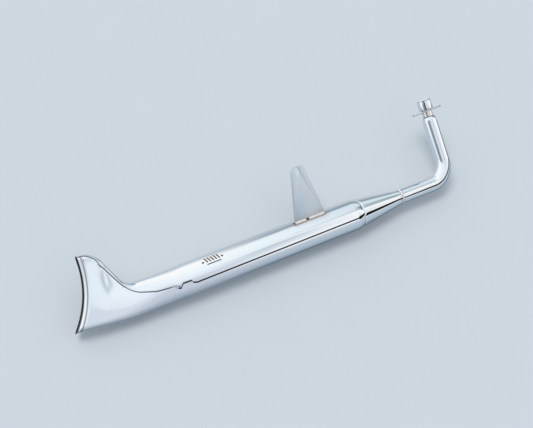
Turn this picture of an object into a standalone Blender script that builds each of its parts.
"""Right-hand exhaust of a small motorcycle: bent double-wall header, tube muffler and fishtail.

Frame: +X forward to the header, +Y towards the motorcycle, +Z up, in metres. The origin lies on the
bracket's inner face, which bolts to the motorcycle, straight below the bracket's slot.
"""
from math import asin, cos, pi, radians, sin, sqrt

import bmesh
import bpy
from mathutils import Vector

# Clearances and sheet
GAP = 0.0003                # between neighbouring solids
WALL = 0.0012               # tube and pressed sheet
PLATE = 0.003               # bracket and flange

# Muffler tube and cone, measured along the muffler axis from below the bracket slot
BODY_R = 0.03025
AXIS_Y = 0.0142             # muffler axis from the bracket's inner face
AXIS_Z = -0.095
TUBE_REAR = -0.2885
REAR_SWAGE = 0.025          # length over which the tube narrows to the fishtail
NECK_R = 0.0294
TUBE_FRONT = 0.0970
FRONT_ROLL = 0.016          # length of the rolled-in front end
ROLLED_R = 0.0279
CONE_FRONT = 0.1907
CONE_TIP_R = 0.0147

# Header
SLEEVE_R = 0.0143
SLEEVE_START = 0.1953
BEND_START = 0.2690
BEND_R = 0.040
LEAN = radians(1.3)         # the upright leg leans forward
PIPE_R = 0.01025
PIPE_START = 0.164          # the inner pipe opens inside the cone
SHOULDER_START = 0.079      # heights along the upright leg, from the end of the bend
SLEEVE_TOP = 0.0875
FLANGE_LOW = 0.0992
COLLAR_LENGTH = 0.0172
COLLAR_R = 0.0140
COLLAR_SPLIT = 0.0024
END_RING = 0.0022
END_RING_R = 0.0137
PORT_TURN = radians(-30.0)  # the loose flange stands turned from the side plane
FLANGE_COCK = radians(2.9)  # the loose flange hangs this much out of square
FLANGE_DROP = 0.0007        # and this much lower, clear of the collar
STUD_SPACING = 0.042
STUD_HOLE_R = 0.0033
EAR_R = 0.0085
FLANGE_R = 0.0170

# Fishtail, from the neck to the mouth
CROWN_RUN = 0.0647          # straight top before the fin rises
VALLEY_R = 0.032
FIN_ANGLE = radians(65.0)
FIN_RISE = 0.040
CREST_R = 0.038
CREST_TURN = radians(60.0)
TIP_RUN = 0.009
BELLY_RUN = 0.087
BELLY_R = 0.250
BELLY_TURN = radians(7.5)
BELLY_END = 0.0761
MOUTH_BOW = 0.013           # how far the mouth's middle stands forward of its tips
FLANK_NECK = 0.024          # half widths of the lower flank
FLANK_MOUTH = 0.0155
FIN_HALF = 0.0070
LIP_HALF = 0.0064
LIP_START = 0.93            # share of the fishtail's length where the flanks turn in
SEAM_GAP = 0.0003

# Silencer inside the tube
CORE_R = 0.016
CORE_REAR = -0.236
CORE_FRONT = 0.088
BULKHEAD_REAR = -0.240
BULKHEAD_FRONT = 0.070
BULKHEAD_RIM = 0.008
OUTLET_R = 0.0127
OUTLET_REAR = -0.330
PERFORATION_R = 0.0025
PERFORATION_PITCH = 0.036
JOINT_SLEEVE_HALF = 0.010

# Bracket, in the side plane, from the muffler axis
BRACKET_FOOT = 0.0272
BRACKET_TOP = 0.125
BRACKET_FOOT_REAR = -0.038
BRACKET_FOOT_FRONT = 0.0250
BRACKET_HEAD_REAR = -0.0148
BRACKET_HEAD_FRONT = 0.0155
BRACKET_REAR_CORNER = 0.016
BRACKET_FRONT_CORNER = 0.010
FOOT_BEVEL_HEIGHT = 0.0064  # weld bevel on the inner face, so that the face ends above the bead
FOOT_BEVEL_DEPTH = 0.0015
SLOT_HEIGHT = 0.113
SLOT_R = 0.0043
SLOT_LENGTH = 0.0176
BEAD_R = 0.0024
BEAD_REAR = -0.043
BEAD_SPLIT = -0.013
HEADER_BEAD_R = 0.0019

# Facets
ROUND_STEPS = 40
SMALL_STEPS = 28
BEND_STEPS = 12
TAIL_ROWS = 15
LIP_ROWS = 5
TAIL_POINTS = 16
END_SHARE = 0.27            # share of a fishtail section's points on each rounded end


def clear_scene():
    for item in list(bpy.data.objects):
        bpy.data.objects.remove(item, do_unlink=True)


def new_collection(name):
    collection = bpy.data.collections.new(name)
    bpy.context.scene.collection.children.link(collection)
    return collection


def finish_material(name, colour, metallic, roughness):
    material = bpy.data.materials.new(name)
    material.use_nodes = True
    shader = material.node_tree.nodes["Principled BSDF"]
    shader.inputs["Base Color"].default_value = (*colour, 1.0)
    shader.inputs["Metallic"].default_value = metallic
    shader.inputs["Roughness"].default_value = roughness
    return material


def chrome(name):
    return finish_material(name, (0.80, 0.83, 0.86), 1.0, 0.08)


def steel(name):
    return finish_material(name, (0.55, 0.55, 0.56), 1.0, 0.35)


def heated_steel(name):
    return finish_material(name, (0.66, 0.55, 0.47), 1.0, 0.30)


def weld_metal(name):
    return finish_material(name, (0.72, 0.62, 0.55), 1.0, 0.32)


def place(item, material, collection, parent):
    item.data.materials.clear()
    item.data.materials.append(material)
    collection.objects.link(item)
    item.parent = parent
    return item


def empty(name, collection, location, parent=None):
    item = bpy.data.objects.new(name, None)
    item.location = location
    item.parent = parent
    collection.objects.link(item)
    return item


def turned(name, profile, steps):
    """A ring or tube turned about local Z from a closed (radius, height) profile."""
    count = len(profile)
    mesh = bpy.data.meshes.new(name)
    points = [(radius, 0.0, height) for radius, height in profile]
    mesh.from_pydata(points, [(i, (i + 1) % count) for i in range(count)], [])
    item = bpy.data.objects.new(name, mesh)
    screw = item.modifiers.new("turn", "SCREW")
    screw.axis = "Z"
    screw.angle = 2.0 * pi
    screw.steps = steps
    screw.render_steps = steps
    screw.use_merge_vertices = True
    screw.merge_threshold = 1e-6
    screw.use_smooth_shade = True
    return item


def along_muffler(item):
    """Lays an item turned about Z along the muffler axis, its heights running forward."""
    item.rotation_euler = (0.0, pi / 2.0, 0.0)
    return item


def tube_profile(outer, front, rear, wall=WALL):
    return [(outer, front), (outer, rear), (outer - wall, rear), (outer - wall, front)]


def shell_profile(outline, wall=WALL):
    """Closed profile of a turned shell whose outside is given from front to rear."""
    inner = [(radius - wall, height) for radius, height in reversed(outline)]
    return outline + inner


def curve_item(name, dimensions):
    curve = bpy.data.curves.new(name, "CURVE")
    curve.dimensions = dimensions
    return bpy.data.objects.new(name, curve)


def add_poly(curve, points, radii=None, cyclic=False):
    spline = curve.splines.new("POLY")
    spline.points.add(len(points) - 1)
    for index, point in enumerate(points):
        spline.points[index].co = (*point, 1.0)
        if radii:
            spline.points[index].radius = radii[index]
    spline.use_cyclic_u = cyclic
    spline.use_smooth = not cyclic


def arc_points(centre, radius, start, end, count):
    """Points on a flat arc from the start angle to the end angle."""
    angles = [start + (end - start) * i / count for i in range(count + 1)]
    return [(centre[0] + radius * cos(a), centre[1] + radius * sin(a), 0.0) for a in angles]


def flat_plate(name, outline, holes, thickness):
    item = curve_item(name, "2D")
    item.data.fill_mode = "BOTH"
    item.data.extrude = thickness / 2.0
    add_poly(item.data, outline, cyclic=True)
    for hole in holes:
        add_poly(item.data, hole, cyclic=True)
    return item


def hollow_rail(name, path, radii, radius, resolution):
    """An open-ended tube along a path; the wall lies inside the given radius."""
    item = curve_item(name, "3D")
    item.data.bevel_depth = radius
    item.data.bevel_resolution = resolution
    item.data.use_fill_caps = False
    add_poly(item.data, path, [value / radius for value in radii])
    solidify = item.modifiers.new("wall", "SOLIDIFY")
    solidify.thickness = WALL
    solidify.offset = -1.0
    return item


def header_path(start, leg_heights):
    """Centre line along X, round the bend, then to each height on the leaning leg."""
    turn = pi / 2.0 - LEAN
    path = [(start, 0.0, 0.0)]
    for index in range(BEND_STEPS + 1):
        angle = turn * index / BEND_STEPS
        path.append((BEND_START + BEND_R * sin(angle), 0.0, BEND_R * (1.0 - cos(angle))))
    top = Vector(path[-1])
    leg = Vector((sin(LEAN), 0.0, cos(LEAN)))
    for height in leg_heights:
        path.append(tuple(top + leg * height))
    return path


def leg_root():
    """Where the bend ends and the upright leg begins."""
    turn = pi / 2.0 - LEAN
    return Vector((BEND_START + BEND_R * sin(turn), 0.0, BEND_R * (1.0 - cos(turn))))


def make_body_tube():
    roll = []
    for index in range(5):
        angle = pi / 2.0 * (1.0 - index / 4.0)
        drop = (BODY_R - ROLLED_R) * (1.0 - cos(angle))
        roll.append((BODY_R - drop, TUBE_FRONT - FRONT_ROLL * (1.0 - sin(angle))))
    swage = []
    for index in range(1, 5):
        share = index / 4.0
        radius = BODY_R + (NECK_R - BODY_R) * smooth(share)
        swage.append((radius, TUBE_REAR + REAR_SWAGE * (1.0 - share)))
    outline = roll + [(BODY_R, TUBE_REAR + REAR_SWAGE)] + swage
    return along_muffler(turned("body_tube", shell_profile(outline), ROUND_STEPS))


def make_front_cone():
    big_r = ROLLED_R - GAP
    outline = [(CONE_TIP_R, CONE_FRONT), (CONE_TIP_R, CONE_FRONT - 0.003), (big_r, TUBE_FRONT + GAP)]
    return along_muffler(turned("front_cone", shell_profile(outline), ROUND_STEPS))


def make_header_weld():
    middle = (CONE_FRONT + SLEEVE_START) / 2.0
    profile = []
    for index in range(8):
        angle = pi / 4.0 * index
        profile.append((SLEEVE_R + HEADER_BEAD_R * cos(angle), middle - HEADER_BEAD_R * sin(angle)))
    return along_muffler(turned("header_weld", profile, ROUND_STEPS))


def make_header_sleeve():
    shoulder = [0.25, 0.5, 0.75, 1.0]
    rise = SLEEVE_TOP - SHOULDER_START
    heights = [SHOULDER_START] + [SHOULDER_START + rise * sin(share * pi / 2.0) for share in shoulder]
    path = header_path(SLEEVE_START, heights)
    end_r = PIPE_R + GAP + WALL
    radii = [SLEEVE_R] * (len(path) - len(shoulder))
    radii += [end_r + (SLEEVE_R - end_r) * cos(share * pi / 2.0) for share in shoulder]
    return hollow_rail("header_sleeve", path, radii, SLEEVE_R, 8)


def make_header_pipe():
    top = FLANGE_LOW + PLATE + GAP + COLLAR_LENGTH + GAP + END_RING
    path = header_path(PIPE_START, [top])
    return hollow_rail("header_pipe", path, [PIPE_R] * len(path), PIPE_R, 6)


def spacer_ring(name, low, length=0.006):
    outer = SLEEVE_R - WALL - GAP
    profile = tube_profile(outer, low + length, low, outer - PIPE_R - GAP)
    return turned(name, profile, SMALL_STEPS)


def make_port_end_ring():
    low = FLANGE_LOW + PLATE + GAP + COLLAR_LENGTH + GAP
    chamfer = 0.0005
    inner = PIPE_R + GAP
    profile = [
        (END_RING_R - chamfer, low + END_RING),
        (END_RING_R, low + END_RING - chamfer),
        (END_RING_R, low),
        (inner, low),
        (inner, low + END_RING),
    ]
    return turned("port_end_ring", profile, SMALL_STEPS)


def box_cutter(name, low, high, collection, parent):
    """A box between two corners, in the parent's frame."""
    mesh = bpy.data.meshes.new(name)
    shape = bmesh.new()
    bmesh.ops.create_cube(shape, size=1.0)
    for vertex in shape.verts:
        for axis in range(3):
            middle = (low[axis] + high[axis]) / 2.0
            vertex.co[axis] = middle + vertex.co[axis] * (high[axis] - low[axis])
    shape.to_mesh(mesh)
    shape.free()
    item = bpy.data.objects.new(name, mesh)
    item.parent = parent
    return hide_cutter(item, collection)


def hide_cutter(item, collection):
    item.hide_render = True
    item.display_type = "WIRE"
    collection.objects.link(item)
    return item


def cut(item, cutter):
    boolean = item.modifiers.new("cut", "BOOLEAN")
    boolean.operation = "DIFFERENCE"
    boolean.object = cutter


def make_collar_half(name, side, cutters, port):
    """Half of the split collar on one side of the split, which faces outboard."""
    low = FLANGE_LOW + PLATE + GAP
    inner = PIPE_R + GAP
    chamfer = 0.0008
    profile = [
        (COLLAR_R - chamfer, low + COLLAR_LENGTH),
        (COLLAR_R, low + COLLAR_LENGTH - chamfer),
        (COLLAR_R, low),
        (inner, low),
        (inner, low + COLLAR_LENGTH),
    ]
    item = turned(name, profile, SMALL_STEPS)
    reach = 2.0 * COLLAR_R
    edges = sorted((side * COLLAR_SPLIT / 2.0, -side * reach))
    corner_low = (edges[0], -reach, low - reach)
    corner_high = (edges[1], reach, low + COLLAR_LENGTH + reach)
    cut(item, box_cutter(name + "_cutter", corner_low, corner_high, cutters, port))
    return item


def make_port_flange():
    """Rhombic two-stud plate: a round middle with an ear on each side."""
    ear_x = STUD_SPACING / 2.0
    slant = asin((FLANGE_R - EAR_R) / ear_x)
    outline = []
    outline += arc_points((ear_x, 0.0), EAR_R, slant - pi / 2.0, pi / 2.0 - slant, 8)
    outline += arc_points((0.0, 0.0), FLANGE_R, pi / 2.0 - slant, pi / 2.0 + slant, 4)
    outline += arc_points((-ear_x, 0.0), EAR_R, pi / 2.0 + slant, 1.5 * pi - slant, 8)
    outline += arc_points((0.0, 0.0), FLANGE_R, 1.5 * pi - slant, 1.5 * pi + slant, 4)
    holes = [arc_points((0.0, 0.0), PIPE_R + 2.0 * GAP, 0.0, 2.0 * pi, SMALL_STEPS)[:-1]]
    for centre in (ear_x, -ear_x):
        holes.append(arc_points((centre, 0.0), STUD_HOLE_R, 0.0, 2.0 * pi, 16)[:-1])
    item = flat_plate("port_flange", outline, holes, PLATE)
    item.location = (0.0, 0.0, FLANGE_LOW + PLATE / 2.0 - FLANGE_DROP)
    item.rotation_euler = (0.0, -FLANGE_COCK, 0.0)
    return item


def smooth(share):
    share = min(max(share, 0.0), 1.0)
    return share * share * (3.0 - 2.0 * share)


def mix(first, second, share):
    return first + (second - first) * share


def walk(start, pieces, distance):
    """Point after a distance along straight and arc pieces (length, turn), setting off rearward."""
    x, z = start
    heading = pi
    for length, turn in pieces:
        step = min(distance, length)
        if turn == 0.0:
            x += step * cos(heading)
            z += step * sin(heading)
        else:
            radius = length / turn
            swept = step / radius
            x += radius * (sin(heading + swept) - sin(heading))
            z += radius * (cos(heading) - cos(heading + swept))
            heading += swept
        distance -= step
    return Vector((x, z))


def tail_start():
    return TUBE_REAR - GAP


def tail_edge_pieces():
    """The fishtail's upper and lower outline as (length, turn) pieces; a negative turn is upward."""
    upper = [
        (CROWN_RUN, 0.0),
        (VALLEY_R * FIN_ANGLE, -FIN_ANGLE),
        (FIN_RISE, 0.0),
        (CREST_R * CREST_TURN, CREST_TURN),
        (TIP_RUN, 0.0),
    ]
    lower = [(BELLY_RUN, 0.0), (BELLY_R * BELLY_TURN, -BELLY_TURN), (BELLY_END, 0.0)]
    return upper, lower


def slot_section(share, half, low_width, high_width):
    """Position up a tall section and its half width, round at both ends, straight between."""
    low_end = mix(low_width, LIP_HALF, 0.5)
    high_end = high_width
    if share < END_SHARE:
        angle = pi / 2.0 * share / END_SHARE
        return -half + low_end * (1.0 - cos(angle)), low_width * sin(angle)
    if share > 1.0 - END_SHARE:
        angle = pi / 2.0 * (1.0 - share) / END_SHARE
        return half - high_end * (1.0 - cos(angle)), high_width * sin(angle)
    middle = (share - END_SHARE) / (1.0 - 2.0 * END_SHARE)
    return mix(low_end - half, half - high_end, middle), mix(low_width, high_width, smooth(middle))


def tail_ring(station, side):
    """One side of the fishtail's section at a station from 0 at the neck to 1 at the mouth."""
    upper_pieces, lower_pieces = tail_edge_pieces()
    upper_length = sum(length for length, _ in upper_pieces)
    lower_length = sum(length for length, _ in lower_pieces)
    upper = walk((tail_start(), NECK_R), upper_pieces, station * upper_length)
    lower = walk((tail_start(), -NECK_R), lower_pieces, station * lower_length)
    half = (upper - lower).length / 2.0
    rise = (upper - lower).normalized()
    forward = Vector((rise.y, -rise.x))
    middle = (upper + lower) / 2.0
    turned_in = max(station - LIP_START, 0.0) / (1.0 - LIP_START)
    curl = 1.0 - sqrt(max(1.0 - turned_in ** 2, 0.0))
    low_width = mix(mix(FLANK_NECK, FLANK_MOUTH, station), LIP_HALF, curl)
    high_width = mix(FIN_HALF, LIP_HALF, curl)
    flattened = smooth((station - 0.05) / 0.70)
    ring = []
    for index in range(TAIL_POINTS + 1):
        share = index / TAIL_POINTS
        angle = pi * (share - 0.5)
        slot_up, slot_width = slot_section(share, half, low_width, high_width)
        up = mix(half * sin(angle), slot_up, flattened)
        width = mix(NECK_R * (1.0 - 0.25 * station) * cos(angle), slot_width, flattened)
        bow = MOUTH_BOW * station ** 2 * (1.0 - (up / half) ** 2)
        place_in_plane = middle + rise * up + forward * bow
        ring.append((place_in_plane.x, side * max(width, SEAM_GAP / 2.0), place_in_plane.y))
    return ring


def tail_stations():
    flank = [LIP_START * index / TAIL_ROWS for index in range(TAIL_ROWS)]
    lip = [mix(LIP_START, 1.0, sin(pi / 2.0 * index / LIP_ROWS)) for index in range(LIP_ROWS + 1)]
    return flank + lip


def make_fishtail_half(name, side):
    """Pressed half shell: a loft from the round neck to the narrow curved mouth, then its wall."""
    shape = bmesh.new()
    rows = [[shape.verts.new(point) for point in tail_ring(station, side)] for station in tail_stations()]
    for near, far in zip(rows, rows[1:]):
        for index in range(TAIL_POINTS):
            corners = [near[index], far[index], far[index + 1], near[index + 1]]
            if side > 0:
                corners.reverse()
            shape.faces.new(corners)
    mesh = bpy.data.meshes.new(name)
    shape.to_mesh(mesh)
    shape.free()
    mesh.shade_smooth()
    item = bpy.data.objects.new(name, mesh)
    solidify = item.modifiers.new("wall", "SOLIDIFY")
    solidify.thickness = WALL
    solidify.offset = -1.0
    return item


def make_bulkhead(name, face, rim_direction, hole_r):
    """Pressed disc with a rim against the tube; the rim points forward (+1) or rearward (-1)."""
    outer = BODY_R - WALL - GAP
    back = face - rim_direction * WALL
    rim = face + rim_direction * BULKHEAD_RIM
    profile = [
        (outer, rim),
        (outer, back),
        (hole_r, back),
        (hole_r, face),
        (outer - WALL, face),
        (outer - WALL, rim),
    ]
    if rim_direction < 0:
        profile.reverse()
    return along_muffler(turned(name, profile, ROUND_STEPS))


def make_perforations(cutters, parent):
    """Rods across the core, three to a row and turned between rows, that drill its holes."""
    mesh = bpy.data.meshes.new("perforations")
    shape = bmesh.new()
    rows = int((CORE_FRONT - CORE_REAR - 0.04) / PERFORATION_PITCH)
    for row in range(rows + 1):
        for spoke in range(3):
            created = bmesh.ops.create_cone(
                shape, cap_ends=True, segments=6,
                radius1=PERFORATION_R, radius2=PERFORATION_R, depth=3.0 * CORE_R,
            )
            angle = pi / 3.0 * spoke + pi / 6.0 * (row % 2)
            height = CORE_REAR + 0.02 + row * PERFORATION_PITCH + spoke * 0.008
            for vertex in created["verts"]:
                x, y, z = vertex.co
                vertex.co = (z * cos(angle) + y * sin(angle), z * sin(angle) - y * cos(angle), x + height)
    shape.to_mesh(mesh)
    shape.free()
    item = bpy.data.objects.new("perforations", mesh)
    item.parent = parent
    return hide_cutter(along_muffler(item), cutters)


def make_perforated_core(cutters, parent):
    item = along_muffler(turned("perforated_core", tube_profile(CORE_R, CORE_FRONT, CORE_REAR), 24))
    cut(item, make_perforations(cutters, parent))
    return item


def make_glass_wool():
    outer = BODY_R - WALL - GAP
    front = BULKHEAD_FRONT - WALL - GAP
    rear = BULKHEAD_REAR + WALL + GAP
    profile = tube_profile(outer, front, rear, outer - CORE_R - GAP)
    return along_muffler(turned("glass_wool_packing", profile, ROUND_STEPS))


def bracket_outline():
    """Tapered plate with rounded upper corners; x forward, y up in the plate's own plane."""
    points = [(BRACKET_FOOT_REAR, BRACKET_FOOT, 0.0), (BRACKET_FOOT_FRONT, BRACKET_FOOT, 0.0)]
    front_centre = (BRACKET_HEAD_FRONT - BRACKET_FRONT_CORNER, BRACKET_TOP - BRACKET_FRONT_CORNER)
    rear_centre = (BRACKET_HEAD_REAR + BRACKET_REAR_CORNER, BRACKET_TOP - BRACKET_REAR_CORNER)
    height = BRACKET_TOP - BRACKET_FOOT
    front_lean = (BRACKET_FOOT_FRONT - BRACKET_HEAD_FRONT) / height
    rear_lean = (BRACKET_HEAD_REAR - BRACKET_FOOT_REAR) / height
    points += arc_points(front_centre, BRACKET_FRONT_CORNER, front_lean, pi / 2.0, 6)
    points += arc_points(rear_centre, BRACKET_REAR_CORNER, pi / 2.0, pi - rear_lean, 6)
    return points


def bevel_foot(mesh):
    """Cut the weld bevel along the foot of the plate's inner face, which is its low local Z side."""
    shape = bmesh.new()
    shape.from_mesh(mesh)
    bmesh.ops.remove_doubles(shape, verts=shape.verts, dist=GAP / 100.0)
    cut_through = bmesh.ops.bisect_plane(
        shape,
        geom=shape.verts[:] + shape.edges[:] + shape.faces[:],
        plane_co=(0.0, BRACKET_FOOT + FOOT_BEVEL_HEIGHT, -PLATE / 2.0),
        plane_no=(0.0, -FOOT_BEVEL_DEPTH, -FOOT_BEVEL_HEIGHT),
        clear_outer=True,
    )
    rim = [item for item in cut_through["geom_cut"] if isinstance(item, bmesh.types.BMEdge)]
    bmesh.ops.edgeloop_fill(shape, edges=rim)
    bmesh.ops.recalc_face_normals(shape, faces=shape.faces)
    shape.to_mesh(mesh)
    shape.free()


def make_bracket():
    straight = (SLOT_LENGTH - 2.0 * SLOT_R) / 2.0
    slot = arc_points((0.0, SLOT_HEIGHT + straight), SLOT_R, 0.0, pi, 8)
    slot += arc_points((0.0, SLOT_HEIGHT - straight), SLOT_R, pi, 2.0 * pi, 8)
    outline = flat_plate("bracket_outline", bracket_outline(), [slot], PLATE)
    mesh = bpy.data.meshes.new_from_object(outline)
    bpy.data.objects.remove(outline)
    bevel_foot(mesh)
    item = bpy.data.objects.new("mounting_bracket", mesh)
    item.rotation_euler = (pi / 2.0, 0.0, 0.0)
    item.location = (0.0, -AXIS_Y - PLATE / 2.0, 0.0)
    return item


def make_bracket_bead(name, side_y, rear, front):
    """Fillet bead beside the bracket's foot; side_y is the bead's centre across the muffler."""
    reach = BODY_R + GAP + BEAD_R
    height = sqrt(reach ** 2 - side_y ** 2)
    item = curve_item(name, "3D")
    item.data.bevel_depth = BEAD_R
    item.data.bevel_resolution = 2
    item.data.use_fill_caps = True
    add_poly(item.data, [(rear, side_y, height), (front, side_y, height)])
    return item


def build():
    clear_scene()
    parts = new_collection("exhaust_muffler")
    cutters = new_collection("cutters")
    axis = empty("muffler_axis", parts, (0.0, AXIS_Y, AXIS_Z))
    leg = empty("upright_leg", parts, leg_root(), axis)
    leg.rotation_euler = (0.0, LEAN, 0.0)
    port = empty("port_axis", parts, (0.0, 0.0, 0.0), leg)
    port.rotation_euler = (0.0, 0.0, PORT_TURN)

    place(make_body_tube(), chrome("tube_chrome"), parts, axis)
    place(make_front_cone(), chrome("cone_chrome"), parts, axis)
    place(make_header_weld(), weld_metal("header_weld_metal"), parts, axis)
    place(make_header_sleeve(), chrome("sleeve_chrome"), parts, axis)
    place(make_header_pipe(), heated_steel("pipe_steel"), parts, axis)
    lower_spacer = along_muffler(spacer_ring("header_spacer_lower", SLEEVE_START + 0.004))
    place(lower_spacer, steel("lower_spacer_steel"), parts, axis)
    place(spacer_ring("header_spacer_upper", 0.060), steel("upper_spacer_steel"), parts, leg)
    place(make_port_end_ring(), chrome("end_ring_chrome"), parts, leg)
    front_half = make_collar_half("collar_half_front", 1.0, cutters, port)
    place(front_half, chrome("front_collar_chrome"), parts, port)
    rear_half = make_collar_half("collar_half_rear", -1.0, cutters, port)
    place(rear_half, chrome("rear_collar_chrome"), parts, port)
    place(make_port_flange(), chrome("flange_chrome"), parts, port)
    place(make_fishtail_half("fishtail_outer_half", -1.0), chrome("outer_tail_chrome"), parts, axis)
    place(make_fishtail_half("fishtail_inner_half", 1.0), chrome("inner_tail_chrome"), parts, axis)

    sleeve_profile = tube_profile(
        NECK_R - WALL - GAP, TUBE_REAR + JOINT_SLEEVE_HALF, TUBE_REAR - JOINT_SLEEVE_HALF
    )
    joint_sleeve = along_muffler(turned("tail_joint_sleeve", sleeve_profile, ROUND_STEPS))
    place(joint_sleeve, steel("joint_sleeve_steel"), parts, axis)
    rear = make_bulkhead("rear_bulkhead", BULKHEAD_REAR, -1.0, OUTLET_R + GAP)
    place(rear, steel("rear_bulkhead_steel"), parts, axis)
    front = make_bulkhead("front_bulkhead", BULKHEAD_FRONT, 1.0, CORE_R + GAP)
    place(front, steel("front_bulkhead_steel"), parts, axis)
    outlet_profile = tube_profile(OUTLET_R, BULKHEAD_REAR + 2.0 * WALL, OUTLET_REAR)
    outlet = along_muffler(turned("outlet_tube", outlet_profile, SMALL_STEPS))
    place(outlet, steel("outlet_steel"), parts, axis)
    place(make_perforated_core(cutters, axis), steel("core_steel"), parts, axis)
    wool = finish_material("wool_fibre", (0.78, 0.72, 0.45), 0.0, 0.95)
    place(make_glass_wool(), wool, parts, axis)

    place(make_bracket(), finish_material("bracket_plate", (0.70, 0.73, 0.77), 1.0, 0.25), parts, axis)
    outer_y = -AXIS_Y - PLATE - GAP - BEAD_R
    inner_y = -AXIS_Y + GAP + BEAD_R
    bead_gap = 0.001
    rear_bead = make_bracket_bead("bracket_weld_rear", outer_y, BEAD_REAR, BEAD_SPLIT - bead_gap)
    place(rear_bead, weld_metal("rear_bead_metal"), parts, axis)
    front_bead = make_bracket_bead("bracket_weld_front", outer_y, BEAD_SPLIT + bead_gap, BRACKET_FOOT_FRONT)
    place(front_bead, weld_metal("front_bead_metal"), parts, axis)
    inboard_bead = make_bracket_bead("bracket_weld_inboard", inner_y, BRACKET_FOOT_REAR, BRACKET_FOOT_FRONT)
    place(inboard_bead, weld_metal("inboard_bead_metal"), parts, axis)


build()
